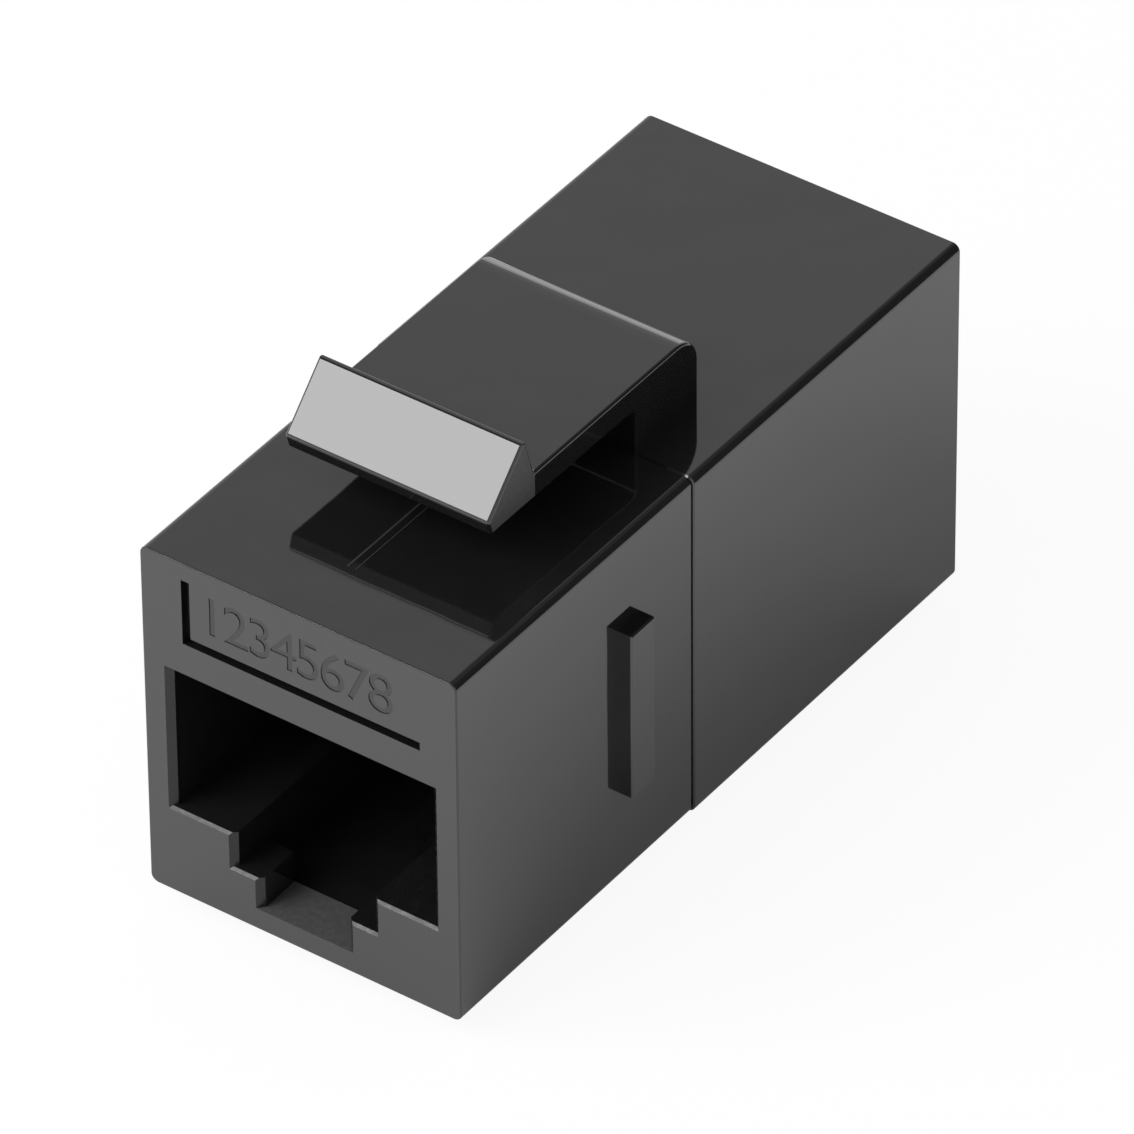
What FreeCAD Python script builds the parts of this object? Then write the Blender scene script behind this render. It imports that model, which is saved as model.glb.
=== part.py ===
import FreeCAD, Part
import os
import Sketcher
from FreeCAD import Placement, Rotation, Vector

# Keystone coupler: two housings joined at a seam, each with a modular jack port,
# a sprung latch arm on top, and inside them a board that joins two rows of eight contacts.
# Every piece is drawn in the module's own frame, in millimetres: y runs from the
# front face to the back, z from the underside of the body, and x from the middle.

PINS = 8
PARTS_FOLDER = "parts"

SIZES = {
    # Outer body
    "port_wall": 1.25,
    "seam_setback": 2.7,
    "rear_step": 0.1,
    "edge_radius": 0.35,
    "rim_radius": 0.07,
    "seam_bevel": 0.06,
    # Walls and the joint between the housings
    "chamber_margin": 0.3,
    "floor_wall": 0.85,
    "roof_wall": 1.3,
    "spigot_length": 1.5,
    "spigot_wall": 0.45,
    "fit_gap": 0.05,
    # Jack port, the same at both ends
    "port_width": 12.0,
    "port_depth": 12.3,
    "port_floor": 4.1,
    "port_height": 6.8,
    "face_wall": 2.1,
    "sill_rise": 0.15,
    "ledge_width": 6.4,
    "ledge_floor": 2.45,
    "notch_width": 4.0,
    "tab_channel_width": 6.4,
    "side_lead_in": 0.27,
    "sill_bevel": 0.11,
    # Lines moulded into the front face
    "line_width": 0.38,
    "line_depth": 0.35,
    "line_inset_left": 0.83,
    "line_inset_right": 0.45,
    "line_above_port": 1.65,
    "line_below_top": 0.8,
    # Side stops and the fixed catch below, which hold the panel
    "panel_grip": 1.65,
    "stop_proud": 0.6,
    "stop_front": 10.25,
    "stop_length": 1.5,
    "stop_low": 4.2,
    "stop_height": 7.8,
    "stop_round": 0.1,
    "catch_proud": 1.0,
    "catch_width": 10.0,
    "catch_flat": 0.6,
    "catch_ramp": 1.5,
    # Latch arm on top
    "latch_width": 9.28,
    "latch_rise": 3.25,
    "arm_thickness": 1.2,
    "arm_edge": 0.2,
    "root_setback": 0.1,
    "root_length": 3.97,
    "root_radius": 1.3,
    "pivot_setback": 0.15,
    "knuckle_gap": 0.03,
    "lip_rise": 1.75,
    "lip_crest": 0.22,
    "lip_back_run": 0.55,
    "lip_face_run": 2.18,
    "lip_nose_drop": 0.55,
    "lip_nose_run": 0.2,
    # Board
    "board_thickness": 1.2,
    "board_gap": 0.25,
    "board_rest": 0.75,
    "hole_gap": 0.09,
    "row_margin": 1.05,
    # Contact carriers
    "window_margin": 0.8,
    "ledge_thickness": 1.0,
    "ledge_rest": 0.7,
    "bridge_thickness": 1.0,
    "nose_setback": 1.5,
    "block_depth": 2.65,
    "comb_play": 0.125,
    "comb_depth": 1.4,
    "comb_foot": 1.1,
    "comb_head": 0.3,
    # Contacts
    "contact_pitch": 1.02,
    "contact_width": 0.45,
    "contact_thickness": 0.35,
    "contact_gap": 0.05,
    "nose_clear": 0.175,
    "beam_angle": 24.0,
    "bend_radius": 0.8,
    "row_drop": 1.175,
    "row_rise": 0.425,
    "ramp_setback": 0.6,
    "ramp_rest": 0.2,
    "tip_reach": 1.1,
    "tail_gap": 0.15,
}

doc = FreeCAD.newDocument("keystone_coupler")
dims = doc.addObject("Spreadsheet::Sheet", "dims")
for row, (alias, size) in enumerate(SIZES.items(), start=1):
    dims.set("A%d" % row, alias)
    dims.set("B%d" % row, str(size))
    dims.setAlias("B%d" % row, alias)
doc.recompute()

# Places worked out from the sheet, as expressions
BLOCK_FRONT = "(dims.port_depth + dims.fit_gap)"
BLOCK_BACK = "(%s + dims.block_depth)" % BLOCK_FRONT
BOARD_FRONT = "(%s + dims.board_rest)" % BLOCK_BACK
MIDDLE = "(%s + dims.board_thickness / 2)" % BOARD_FRONT
TOTAL = "(2 * %s)" % MIDDLE
SEAM = "(dims.port_depth + dims.seam_setback)"
SPIGOT_FRONT = "(%s - dims.spigot_length)" % SEAM
PORT_HALF = "(dims.port_width / 2)"
HALF_WIDTH = "(%s + dims.port_wall)" % PORT_HALF
CHAMBER_HALF = "(%s + dims.chamber_margin)" % PORT_HALF
WINDOW_HALF = "((%d * dims.contact_pitch + dims.contact_width) / 2 + dims.window_margin)" % (PINS - 1)
TONGUE_HALF = "(%s + dims.ledge_rest)" % WINDOW_HALF
PORT_CEILING = "(dims.port_floor + dims.port_height)"
SILL = "(dims.floor_wall + dims.sill_rise)"
LEDGE_TOP = "(%s + dims.ledge_thickness)" % PORT_CEILING
TONGUE_LOW = "(%s + dims.fit_gap)" % LEDGE_TOP
GROOVE_FLOOR = "(%s + dims.bridge_thickness)" % TONGUE_LOW
TONGUE_TOP = "(%s + dims.contact_thickness + 2 * dims.contact_gap)" % GROOVE_FLOOR
RUN_Z = "(%s + dims.contact_gap + dims.contact_thickness / 2)" % GROOVE_FLOOR
LOW_ROW = "(%s - dims.row_drop)" % RUN_Z
HIGH_ROW = "(%s + dims.row_rise)" % RUN_Z
BOARD_TOP = "(%s + dims.row_margin)" % HIGH_ROW
CHAMBER_TOP = "(%s + dims.board_gap)" % BOARD_TOP
BODY_TOP = "(%s + dims.roof_wall)" % CHAMBER_TOP
PANEL_FRONT = "(dims.stop_front - dims.panel_grip)"
ARM_TOP = "(%s + dims.latch_rise)" % BODY_TOP
ARM_LOW = "(%s - dims.arm_thickness)" % ARM_TOP
PIVOT_Y = "(%s - dims.pivot_setback)" % SEAM
PIVOT_Z = "(%s - dims.arm_thickness / 2)" % ARM_TOP
ROOT_FRONT = "(%s + dims.root_setback)" % SEAM
NOSE_Y = "(dims.face_wall + dims.nose_setback)"
NOSE_RADIUS = "((dims.bridge_thickness + dims.contact_thickness) / 2 + dims.contact_gap + dims.nose_clear)"
BEAM_APEX = "(%s - %s / tan(dims.beam_angle / 2))" % (NOSE_Y, NOSE_RADIUS)
TIP_Y = "(dims.port_depth + dims.tip_reach)"
TIP_Z = "(%s - (%s - %s) * tan(dims.beam_angle))" % (RUN_Z, TIP_Y, BEAM_APEX)
RAMP_START = "(dims.port_depth + dims.ramp_setback)"
RAMP_END = "(%s - dims.ramp_rest)" % BLOCK_BACK
TAIL_END = "(%s + dims.board_thickness + dims.board_rest - dims.tail_gap)" % BOARD_FRONT
GROOVE_WIDTH = "(dims.contact_width + 2 * dims.contact_gap)"
COMB_WIDTH = "(dims.contact_width + 2 * dims.comb_play)"
BOARD_HOLE = "(sqrt(dims.contact_width ^ 2 + dims.contact_thickness ^ 2) + 2 * dims.hole_gap)"


def value(expression):
    """The number that an expression on the sheet gives now."""
    return float(dims.evalExpression(expression.replace("dims.", "")))


def origin_feature(body, role):
    return next(item for item in body.Origin.OriginFeatures if item.Role == role)


def new_body(name, turned=False):
    """A body placed so that the module stands on its catch with its middle over the origin."""
    body = doc.addObject("PartDesign::Body", name)
    body.Label = name
    if turned:
        body.Placement = Placement(Vector(0, 0, 0), Rotation(Vector(0, 0, 1), 180))
    body.setExpression(".Placement.Base.y", MIDDLE if turned else "-" + MIDDLE)
    body.setExpression(".Placement.Base.z", "dims.catch_proud")
    return body


def sketch_on(body, name, role, offset):
    sketch = body.newObject("Sketcher::SketchObject", name)
    sketch.AttachmentSupport = (origin_feature(body, role), [""])
    sketch.MapMode = "FlatFace"
    sketch.setExpression(".AttachmentOffset.Base.z", offset)
    return sketch


def cross_sketch(body, name, place):
    """A sketch across the module at y = place, with x across and z up."""
    return sketch_on(body, name, "XZ_Plane", "-(%s)" % place)


def side_sketch(body, name, place="0"):
    """A sketch along the module at x = place, with y across and z up."""
    return sketch_on(body, name, "YZ_Plane", place)


def locate(sketch, geometry, point, across, up):
    """Tie one point of a sketch to the sheet, by its distances from the sketch's origin."""
    for kind, expression in (("DistanceX", across), ("DistanceY", up)):
        size = value(expression)
        if size >= 0:
            rule = Sketcher.Constraint(kind, -1, 1, geometry, point, size)
        else:
            rule = Sketcher.Constraint(kind, geometry, point, -1, 1, -size)
            expression = "-(%s)" % expression
        index = sketch.addConstraint(rule)
        sketch.setExpression("Constraints[%d]" % index, expression)


def outline(sketch, points):
    """A closed loop of lines through points, each a pair of expressions."""
    places = [Vector(value(across), value(up), 0) for across, up in points]
    first = sketch.GeometryCount
    for index, place in enumerate(places):
        sketch.addGeometry(Part.LineSegment(place, places[(index + 1) % len(places)]))
    for index, (across, up) in enumerate(points):
        line = first + index
        following = first + (index + 1) % len(points)
        sketch.addConstraint(Sketcher.Constraint("Coincident", line, 2, following, 1))
        locate(sketch, line, 1, across, up)
    return sketch


def box_outline(sketch, left, right, low, high):
    return outline(sketch, [(left, low), (right, low), (right, high), (left, high)])


def mirrored_outline(sketch, right_side):
    """A loop that is the same on both sides of the middle, from the points of its right side."""
    left_side = [("-(%s)" % across, up) for across, up in reversed(right_side)]
    return outline(sketch, right_side + left_side)


def circle(sketch, across, up, diameter):
    place = Vector(value(across), value(up), 0)
    index = sketch.addGeometry(Part.Circle(place, Vector(0, 0, 1), value(diameter) / 2))
    locate(sketch, index, 3, across, up)
    size = sketch.addConstraint(Sketcher.Constraint("Diameter", index, value(diameter)))
    sketch.setExpression("Constraints[%d]" % size, diameter)
    return sketch


def finish_feature(feature, grows=None):
    """Recompute, and check that a pad added to the body or a cut took something off it."""
    body = feature.getParentGeoFeatureGroup()
    base = feature.BaseFeature
    before = base.Shape.Volume if base else 0.0
    doc.recompute()
    change = feature.Shape.Volume - before
    if grows is not None and (change <= 0) == grows:
        raise RuntimeError("%s in %s changed nothing" % (feature.Name, body.Label))
    return feature


def extrude(kind, body, name, sketch, length, symmetric, reverse):
    feature = body.newObject("PartDesign::" + kind, name)
    feature.Profile = sketch
    feature.SideType = "Symmetric" if symmetric else "One side"
    feature.Reversed = reverse
    feature.setExpression("Length", length)
    return finish_feature(feature, grows=kind == "Pad")


def pad_back(body, name, sketch, length, inward=1):
    """Add material from a cross sketch, towards the rear, or the front if inward is -1."""
    return extrude("Pad", body, name, sketch, length, False, inward > 0)


def cut_back(body, name, sketch, length, inward=1):
    """Cut from a cross sketch, towards the rear, or the front if inward is -1."""
    return extrude("Pocket", body, name, sketch, length, False, inward < 0)


def pad_across(body, name, sketch, length):
    return extrude("Pad", body, name, sketch, length, True, False)


def cut_across(body, name, sketch, length):
    return extrude("Pocket", body, name, sketch, length, True, False)


def edges_where(feature, wanted):
    edges = feature.Shape.Edges
    return ["Edge%d" % (index + 1) for index, edge in enumerate(edges) if wanted(edge)]


def dress(kind, body, name, size, wanted):
    """Round or bevel the edges of the body's last feature that pass a test."""
    base = body.Tip
    names = edges_where(base, wanted)
    if not names:
        raise RuntimeError("%s in %s found no edge" % (name, body.Label))
    feature = body.newObject("PartDesign::" + kind, name)
    feature.Base = (base, names)
    feature.setExpression("Radius" if kind == "Fillet" else "Size", size)
    return finish_feature(feature, grows=None)


def runs_along(edge, axis):
    box = edge.BoundBox
    lengths = {"x": box.XLength, "y": box.YLength, "z": box.ZLength}
    return lengths[axis] > 0.01 and all(lengths[other] < 0.001 for other in lengths if other != axis)


def lies_at_y(edge, place):
    box = edge.BoundBox
    return abs(box.YMin - place) < 0.001 and abs(box.YMax - place) < 0.001


def pattern_across(body, name, original, spacing, count):
    feature = body.newObject("PartDesign::LinearPattern", name)
    feature.Originals = [original]
    feature.Direction = (origin_feature(body, "X_Axis"), [""])
    feature.setExpression("Length", "%d * %s" % (count - 1, spacing))
    feature.Occurrences = count
    body.Tip = feature
    return finish_feature(feature)


def pin_place(pin):
    """Where a pin stands across its port, as an expression."""
    return "(%g * dims.contact_pitch)" % (pin - (PINS + 1) / 2)


# Housings


def block(body, start, length, half_width, outer_face, seam_face):
    """The plain outer block of one housing, with rounded edges and a bevel at the seam."""
    section = cross_sketch(body, "section", start)
    box_outline(section, "-" + half_width, half_width, "0", BODY_TOP)
    pad_back(body, "block", section, length)
    dress("Fillet", body, "long_edges", "dims.edge_radius", lambda edge: runs_along(edge, "y"))
    face = value(outer_face)
    dress("Fillet", body, "rim", "dims.rim_radius", lambda edge: lies_at_y(edge, face))
    seam = value(seam_face)
    dress("Chamfer", body, "seam", "dims.seam_bevel", lambda edge: lies_at_y(edge, seam))


def along(start, distance, inward):
    """A place some way into the module from a face, as an expression."""
    return "(%s %s %s)" % (start, "+" if inward > 0 else "-", distance)


def cut_port(body, face, inward):
    """A modular jack port with its stepped mouth, tab channel and room for the contact carrier."""
    notch_half = "dims.notch_width / 2"
    ledge_half = "dims.ledge_width / 2"
    mouth = cross_sketch(body, "mouth_outline", face)
    mirrored_outline(mouth, [
        (notch_half, SILL),
        (notch_half, "dims.ledge_floor"),
        (ledge_half, "dims.ledge_floor"),
        (ledge_half, "dims.port_floor"),
        (PORT_HALF, "dims.port_floor"),
        (PORT_HALF, PORT_CEILING),
    ])
    cut_back(body, "mouth", mouth, "dims.face_wall", inward)
    face_y = value(face)
    reach = value(PORT_HALF) + 0.01
    top = value(PORT_CEILING)
    low = value(SILL)

    def on_mouth(edge, axis):
        box = edge.BoundBox
        inside = box.XMax < reach and box.XMin > -reach and box.ZMin > low - 0.01
        return lies_at_y(edge, face_y) and inside and runs_along(edge, axis)

    dress("Chamfer", body, "mouth_sides", "dims.side_lead_in",
          lambda edge: on_mouth(edge, "z") and edge.BoundBox.ZMax < top + 0.01)
    dress("Chamfer", body, "mouth_sills", "dims.sill_bevel",
          lambda edge: on_mouth(edge, "x") and low + 0.01 < edge.BoundBox.ZMin < top - 0.01)
    behind_wall = along(face, "dims.face_wall", inward)
    depth = "(dims.port_depth - dims.face_wall)"
    tab_half = "dims.tab_channel_width / 2"
    cavity = cross_sketch(body, "cavity_outline", behind_wall)
    mirrored_outline(cavity, [
        (tab_half, "dims.floor_wall"),
        (tab_half, "dims.port_floor"),
        (PORT_HALF, "dims.port_floor"),
        (PORT_HALF, PORT_CEILING),
    ])
    cut_back(body, "cavity", cavity, depth, inward)
    carrier = cross_sketch(body, "carrier_outline", behind_wall)
    mirrored_outline(carrier, [
        (WINDOW_HALF, "dims.port_floor"),
        (WINDOW_HALF, LEDGE_TOP),
        ("%s + dims.fit_gap" % TONGUE_HALF, LEDGE_TOP),
        ("%s + dims.fit_gap" % TONGUE_HALF, "%s + dims.fit_gap" % TONGUE_TOP),
    ])
    cut_back(body, "carrier_room", carrier, "%s - dims.face_wall" % BLOCK_FRONT, inward)


def chamber_outline(sketch, growth="0"):
    """The outline of the room behind the ports, grown outwards by some way."""
    half = "(%s + %s)" % (CHAMBER_HALF, growth)
    return box_outline(sketch, "-" + half, half, "dims.floor_wall - %s" % growth,
                       "%s + %s" % (CHAMBER_TOP, growth))


def side_stops(body):
    """The two ribs that the back of the panel meets."""
    sketch = side_sketch(body, "stop_outline")
    box_outline(sketch, "dims.stop_front", "dims.stop_front + dims.stop_length",
                "dims.stop_low", "dims.stop_low + dims.stop_height")
    outer_half = "(%s + dims.stop_proud)" % HALF_WIDTH
    pad_across(body, "stops", sketch, "2 * " + outer_half)
    outer = value(outer_half) - 0.001
    dress("Fillet", body, "stop_edges", "dims.stop_round",
          lambda edge: min(abs(edge.BoundBox.XMin), abs(edge.BoundBox.XMax)) > outer)


def lower_catch(body):
    """The fixed tooth below, with a ramp in front and a square back that hooks over the panel."""
    back = PANEL_FRONT
    flat = "(%s - dims.catch_flat)" % back
    front = "(%s - dims.catch_ramp)" % flat
    sketch = side_sketch(body, "catch_outline")
    outline(sketch, [(front, "0"), (flat, "-dims.catch_proud"), (back, "-dims.catch_proud"),
                     (back, "dims.floor_wall"), (front, "dims.floor_wall")])
    pad_across(body, "catch", sketch, "dims.catch_width")


def face_lines(body):
    """The plain corner line moulded into the front face, above the port."""
    left = "(dims.line_inset_left - %s)" % PORT_HALF
    right = "(%s - dims.line_inset_right)" % PORT_HALF
    low = "(%s + dims.line_above_port)" % PORT_CEILING
    high = "(%s - dims.line_below_top)" % BODY_TOP
    half = "dims.line_width / 2"
    sketch = cross_sketch(body, "line_outline", "0")
    outline(sketch, [
        ("%s - %s" % (left, half), "%s - %s" % (low, half)),
        (right, "%s - %s" % (low, half)),
        (right, "%s + %s" % (low, half)),
        ("%s + %s" % (left, half), "%s + %s" % (low, half)),
        ("%s + %s" % (left, half), high),
        ("%s - %s" % (left, half), high),
    ])
    cut_back(body, "face_lines", sketch, "dims.line_depth")


def front_housing():
    body = new_body("front_housing")
    block(body, "0", SEAM, HALF_WIDTH, "0", SEAM)
    side_stops(body)
    lower_catch(body)
    cut_port(body, "0", 1)
    room = cross_sketch(body, "chamber_outline", "dims.port_depth")
    chamber_outline(room)
    cut_back(body, "chamber", room, "dims.seam_setback")
    socket = cross_sketch(body, "socket_outline", "%s - dims.fit_gap" % SPIGOT_FRONT)
    chamber_outline(socket, "dims.spigot_wall")
    cut_back(body, "socket", socket, "dims.spigot_length + dims.fit_gap")
    face_lines(body)
    return body


def latch_root(body):
    """The block that carries the latch arm, with a rounded back and a hollow seat in front."""
    sketch = side_sketch(body, "root_outline")
    back = "(%s + dims.root_length)" % ROOT_FRONT
    box_outline(sketch, ROOT_FRONT, back, "%s - dims.roof_wall / 2" % BODY_TOP, ARM_TOP)
    pad_across(body, "latch_root", sketch, "dims.latch_width")
    back_y = value(back)
    top = value(ARM_TOP)
    dress("Fillet", body, "root_back", "dims.root_radius",
          lambda edge: lies_at_y(edge, back_y) and edge.BoundBox.ZMin > top - 0.001)

    def on_top_side(edge):
        box = edge.BoundBox
        at_side = box.XLength < 0.001 and abs(abs(box.XMin) - value("dims.latch_width") / 2) < 0.001
        return at_side and box.ZMax > top - 0.001 and box.ZLength < value("dims.root_radius") + 0.01

    dress("Fillet", body, "root_edges", "dims.arm_edge", on_top_side)
    seat = side_sketch(body, "seat_outline")
    circle(seat, PIVOT_Y, PIVOT_Z, "dims.arm_thickness + 2 * dims.knuckle_gap")
    cut_across(body, "seat", seat, "dims.latch_width")


def rear_housing():
    body = new_body("rear_housing")
    half = "(%s + dims.rear_step)" % HALF_WIDTH
    block(body, SEAM, "%s - %s" % (TOTAL, SEAM), half, TOTAL, SEAM)
    latch_root(body)
    spigot = cross_sketch(body, "spigot_outline", SEAM)
    chamber_outline(spigot, "(dims.spigot_wall - dims.fit_gap)")
    pad_back(body, "spigot", spigot, "dims.spigot_length", -1)
    cut_port(body, TOTAL, -1)
    room = cross_sketch(body, "chamber_outline", SPIGOT_FRONT)
    chamber_outline(room)
    cut_back(body, "chamber", room, "%s - dims.port_depth - %s" % (TOTAL, SPIGOT_FRONT))
    return body


# Latch


def latch_arm():
    """The sprung arm: a flat strip with a wedge lip at its free end and a round heel in its seat."""
    lip_back = PANEL_FRONT
    crest_back = "(%s - dims.lip_back_run)" % lip_back
    crest_front = "(%s - dims.lip_crest)" % crest_back
    nose = "(%s - dims.lip_face_run)" % crest_front
    heel = "(%s + dims.lip_nose_run)" % nose
    crest = "(%s + dims.lip_rise)" % ARM_TOP
    body = new_body("latch_arm")
    profile = side_sketch(body, "arm_outline")
    outline(profile, [
        (heel, ARM_LOW),
        (PIVOT_Y, ARM_LOW),
        (PIVOT_Y, ARM_TOP),
        (lip_back, ARM_TOP),
        (crest_back, crest),
        (crest_front, crest),
        (nose, "%s - dims.lip_nose_drop" % ARM_TOP),
    ])
    pad_across(body, "arm", profile, "dims.latch_width")
    knuckle = side_sketch(body, "knuckle_outline")
    circle(knuckle, PIVOT_Y, PIVOT_Z, "dims.arm_thickness")
    pad_across(body, "knuckle", knuckle, "dims.latch_width")
    return body


# Inner pieces


def circuit_board():
    """The board across the chamber, with a hole for each contact of both ports."""
    body = new_body("circuit_board")
    half = "(%s - dims.board_gap)" % CHAMBER_HALF
    sheet = cross_sketch(body, "board_outline", BOARD_FRONT)
    box_outline(sheet, "-" + half, half, "dims.floor_wall + dims.board_gap", BOARD_TOP)
    pad_back(body, "board", sheet, "dims.board_thickness")
    for name, height in (("low_holes", LOW_ROW), ("high_holes", HIGH_ROW)):
        hole = cross_sketch(body, name + "_outline", BOARD_FRONT)
        circle(hole, pin_place(1), height, BOARD_HOLE)
        first = cut_back(body, name + "_first", hole, "dims.board_thickness")
        pattern_across(body, name, first, "dims.contact_pitch", PINS)
    return body


def carrier(name, turned):
    """A moulded carrier: a block behind the port, a grooved bridge above it and a comb below."""
    body = new_body(name, turned)
    wall_half = "(%s - dims.fit_gap)" % CHAMBER_HALF
    rear = cross_sketch(body, "block_outline", BLOCK_FRONT)
    box_outline(rear, "-" + wall_half, wall_half, "dims.floor_wall + dims.fit_gap",
                "%s - dims.fit_gap" % CHAMBER_TOP)
    pad_back(body, "block", rear, "%s - %s" % (BLOCK_BACK, BLOCK_FRONT))
    bridge = cross_sketch(body, "bridge_outline", NOSE_Y)
    box_outline(bridge, "-" + TONGUE_HALF, TONGUE_HALF, TONGUE_LOW, TONGUE_TOP)
    pad_back(body, "bridge", bridge, "%s - %s" % (BLOCK_FRONT, NOSE_Y))
    groove = side_sketch(body, "groove_outline", pin_place(1))
    box_outline(groove, NOSE_Y, BLOCK_BACK, GROOVE_FLOOR, CHAMBER_TOP)
    first = cut_across(body, "groove_first", groove, GROOVE_WIDTH)
    pattern_across(body, "grooves", first, "dims.contact_pitch", PINS)
    low_floor = "(%s - dims.contact_thickness / 2 - dims.contact_gap)" % LOW_ROW
    drop = side_sketch(body, "drop_outline", pin_place(1))
    box_outline(drop, "%s - dims.contact_thickness" % RAMP_START, BLOCK_BACK, low_floor, CHAMBER_TOP)
    first = cut_across(body, "drop_first", drop, GROOVE_WIDTH)
    pattern_across(body, "drops", first, "2 * dims.contact_pitch", PINS // 2)
    slot = side_sketch(body, "comb_outline", pin_place(1))
    box_outline(slot, BLOCK_FRONT, "%s + dims.comb_depth" % BLOCK_FRONT,
                "%s - dims.comb_foot" % TIP_Z, "%s + dims.comb_head" % PORT_CEILING)
    first = cut_across(body, "comb_first", slot, COMB_WIDTH)
    pattern_across(body, "comb", first, "dims.contact_pitch", PINS)
    return body


def contact_path(sketch, row):
    """The middle line of a contact: tail, ramp, top run, turned nose and sloping beam."""
    corners = [(TAIL_END, row), (RAMP_END, row), (RAMP_START, RUN_Z), (BEAM_APEX, RUN_Z), (TIP_Y, TIP_Z)]
    places = [Vector(value(across), value(up), 0) for across, up in corners]
    runs = len(corners) - 1
    for index in range(runs):
        sketch.addGeometry(Part.LineSegment(places[index], places[index + 1]))
    for index in range(runs - 1):
        sketch.addConstraint(Sketcher.Constraint("Coincident", index, 2, index + 1, 1))
    for index in range(runs):
        locate(sketch, index, 1, *corners[index])
    locate(sketch, runs - 1, 2, *corners[runs])
    doc.recompute()
    for index, radius in enumerate(["dims.bend_radius", "dims.bend_radius", NOSE_RADIUS]):
        drawn = sketch.GeometryCount
        sketch.fillet(index, 2, value(radius), True, True)
        added = range(drawn, sketch.GeometryCount)
        arc = next(item for item in added if isinstance(sketch.Geometry[item], Part.ArcOfCircle))
        rule = sketch.addConstraint(Sketcher.Constraint("Radius", arc, value(radius)))
        sketch.setExpression("Constraints[%d]" % rule, radius)
    return sketch


def contact(name, pin, turned):
    """One stamped contact, bent once at the nose so that its beam springs into the port."""
    body = new_body(name, turned)
    body.setExpression(".Placement.Base.x", "-" + pin_place(pin) if turned else pin_place(pin))
    row = LOW_ROW if pin % 2 else HIGH_ROW
    path = contact_path(side_sketch(body, "path"), row)
    section = cross_sketch(body, "section", TAIL_END)
    half = "dims.contact_width / 2"
    box_outline(section, "-" + half, half, "%s - dims.contact_thickness / 2" % row,
                "%s + dims.contact_thickness / 2" % row)
    doc.recompute()
    strip = body.newObject("PartDesign::AdditivePipe", "strip")
    strip.Profile = section
    strip.Spine = (path, [""])
    finish_feature(strip, grows=True)
    return body


def build():
    pieces = [front_housing(), rear_housing(), latch_arm(), circuit_board()]
    for end, turned in (("front", False), ("rear", True)):
        pieces.append(carrier(end + "_contact_carrier", turned))
        for pin in range(1, PINS + 1):
            pieces.append(contact("%s_contact_%d" % (end, pin), pin, turned))
    doc.recompute()
    return pieces


def check(pieces):
    """Stop before anything is written if the document or one of its solids is not whole."""
    for item in doc.Objects:
        if "Invalid" in item.State or "Error" in item.State:
            raise RuntimeError("%s did not recompute" % item.Label)
    for body in pieces:
        shape = body.Shape
        if shape.isNull() or not shape.isValid() or len(shape.Solids) != 1:
            raise RuntimeError("%s is not one valid solid" % body.Label)


def write(pieces):
    os.makedirs(PARTS_FOLDER, exist_ok=True)
    for body in pieces:
        body.Shape.exportStep(os.path.join(PARTS_FOLDER, body.Label + ".step"))


pieces = build()
check(pieces)
write(pieces)
for body in pieces:
    box = body.Shape.BoundBox
    print("%-22s %8.2f mm3  x %.2f %.2f  y %.2f %.2f  z %.2f %.2f" % (
        body.Label, body.Shape.Volume, box.XMin, box.XMax, box.YMin, box.YMax, box.ZMin, box.ZMax))
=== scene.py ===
import math

import bmesh
import bpy
from bpy.props import FloatProperty, FloatVectorProperty, IntProperty, PointerProperty
from mathutils import Matrix, Vector


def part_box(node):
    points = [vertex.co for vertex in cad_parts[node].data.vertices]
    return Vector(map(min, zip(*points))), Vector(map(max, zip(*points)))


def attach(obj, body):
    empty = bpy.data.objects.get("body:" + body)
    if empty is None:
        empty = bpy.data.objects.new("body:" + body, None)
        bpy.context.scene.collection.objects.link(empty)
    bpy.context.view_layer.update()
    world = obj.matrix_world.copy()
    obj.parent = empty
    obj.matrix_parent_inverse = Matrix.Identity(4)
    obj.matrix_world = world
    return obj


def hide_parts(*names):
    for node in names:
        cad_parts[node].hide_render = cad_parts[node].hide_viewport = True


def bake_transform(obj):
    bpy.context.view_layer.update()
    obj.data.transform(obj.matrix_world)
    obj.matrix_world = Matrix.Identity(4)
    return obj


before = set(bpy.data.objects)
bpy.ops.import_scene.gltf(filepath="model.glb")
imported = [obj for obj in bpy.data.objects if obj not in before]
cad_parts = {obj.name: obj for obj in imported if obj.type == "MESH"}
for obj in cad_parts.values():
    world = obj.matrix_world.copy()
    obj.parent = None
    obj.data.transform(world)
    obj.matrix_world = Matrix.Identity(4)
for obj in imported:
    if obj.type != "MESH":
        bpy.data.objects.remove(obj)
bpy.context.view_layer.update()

bl_info = {
    "name": "Keystone coupler",
    "version": (1, 0, 0),
    "blender": (4, 5, 0),
    "location": "View3D > Sidebar > Coupler",
    "description": "Dresses the packed keystone coupler: shells, latch, board, contacts and stage",
    "category": "Object",
}

MM = 0.001
PINS = 8
ENDS = ("front", "rear")
BODY_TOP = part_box("front_housing")[1].z
SEAM_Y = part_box("front_housing")[1].y
FACE_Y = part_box("front_housing")[0].y
ARM_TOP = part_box("rear_housing")[1].z

# Tolerances, and how far joined solids reach into each other
WELD = 0.0005 * MM
TOUCH = 0.01 * MM
SINK = 0.1 * MM

# Where the faces with a finish of their own, or with painted light or shade, lie on the front
# housing
SILL_HEIGHT = 2.0 * MM
SILL_REACH = 3.0 * MM
LINE_DEPTHS = (0.1 * MM, 0.4 * MM)
LINE_DROPS = (0.5 * MM, 6.0 * MM)
RIM_WIDTH = 0.08 * MM
MOUTH_HALF_WIDTH = 6.5 * MM
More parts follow.
